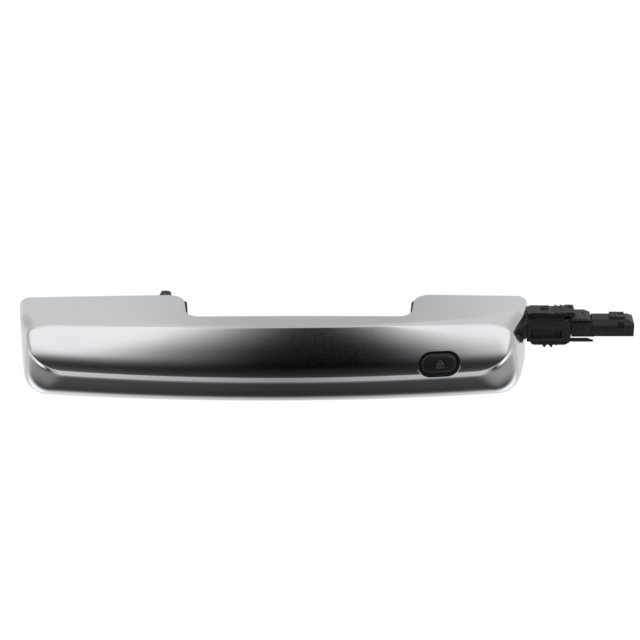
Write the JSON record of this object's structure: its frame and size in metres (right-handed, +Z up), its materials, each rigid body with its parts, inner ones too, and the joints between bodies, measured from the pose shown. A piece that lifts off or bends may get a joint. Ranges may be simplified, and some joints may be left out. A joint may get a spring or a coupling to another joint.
{
  "type": "car door handle",
  "caption": "Satin-chrome pull handle for a car door with a lock button, a pulling claw and a pivot hook that carries a connector.",
  "frame": {"origin": "centre of the pivot-end seat face, on the door plane", "axes": "+X along the handle towards the pivot hook and connector, +Y into the door, +Z up on the car"},
  "size_m": [0.2779, 0.06, 0.0404],
  "materials": {
    "satin_chrome": "satin chrome plating on moulded plastic",
    "black_plastic": "fine moulded texture",
    "black_liner": "matt moulded plastic",
    "button_black": "semi-gloss moulded plastic",
    "olive_plastic": "moulded olive-grey plastic",
    "rubber": "matt moulded rubber",
    "screw_steel": "zinc-plated steel",
    "terminal_brass": "stamped tin brass",
    "copper": "copper wire and foil",
    "board_green": "solder mask",
    "chip_black": "moulded epoxy",
    "ceramic_tan": "sintered ceramic",
    "ferrite_grey": "sintered ferrite",
    "white_plastic": "moulded plastic",
    "lead_red": "extruded insulation",
    "lead_black": "extruded insulation",
    "lead_blue": "extruded insulation",
    "lead_yellow": "extruded insulation"
  },
  "bodies": {
    "handle_body": {"antenna_bobbin": "black_liner", "antenna_coil": "copper", "antenna_driver": "chip_black", "button_frame": "black_liner", "button_seal": "rubber", "capacitor_1": "ceramic_tan", "capacitor_2": "ceramic_tan", "circuit_board": "board_green", "connector_housing": "black_plastic", "connector_seal": "rubber", "cover_screw_1": "screw_steel", "cover_screw_2": "screw_steel", "electronics_tray": "black_liner", "ferrite_core": "ferrite_grey", "foot_buffer": "rubber", "foot_screw": "screw_steel", "hook_screw_1": "screw_steel", "hook_screw_2": "screw_steel", "inner_cover": "black_liner", "latch_sleeve": "black_plastic", "lead_1": "lead_red", "lead_2": "lead_black", "lead_3": "lead_blue", "lead_4": "lead_yellow", "microcontroller": "chip_black", "outer_shell": "satin_chrome", "pivot_hook": "black_plastic", "rear_foot": "black_plastic", "sensor_electrode": "copper", "tact_switch": "chip_black", "terminal_1": "terminal_brass", "terminal_2": "terminal_brass", "terminal_3": "terminal_brass", "terminal_4": "terminal_brass"},
    "button": {"lock_button": "button_black"},
    "plunger": {"switch_plunger": "white_plastic"},
    "upper_lever": {"upper_release_lever": "black_plastic"},
    "lower_lever": {"lower_release_lever": "black_plastic"},
    "lock_slide": {"terminal_lock": "olive_plastic"}
  },
  "joints": [
    {"name": "lock_button_press", "type": "slide", "parent": "handle_body", "child": "button", "axis": [0, 1, 0], "range_m": [0, 0.0008], "stiffness_N_per_m": 2500},
    {"name": "switch_plunger_press", "type": "slide", "parent": "handle_body", "child": "plunger", "axis": [0, 1, 0], "range_m": [0, 0.0003]},
    {"name": "upper_release_press", "type": "hinge", "parent": "handle_body", "child": "upper_lever", "pos_m": [0.0268, 0, 0.0061], "axis": [0, 1, 0], "range_deg": [0, 2], "stiffness_Nm_per_rad": 2},
    {"name": "lower_release_press", "type": "hinge", "parent": "handle_body", "child": "lower_lever", "pos_m": [0.0281, 0, -0.0057], "axis": [0, -1, 0], "range_deg": [0, 2.4], "stiffness_Nm_per_rad": 2},
    {"name": "terminal_lock_slide", "type": "slide", "parent": "handle_body", "child": "lock_slide", "axis": [-1, 0, 0], "range_m": [0, 0.0022]}
  ],
  "couplings": [
    {"joint": "switch_plunger_press", "follows": "lock_button_press", "ratio": 0.375}
  ]
}
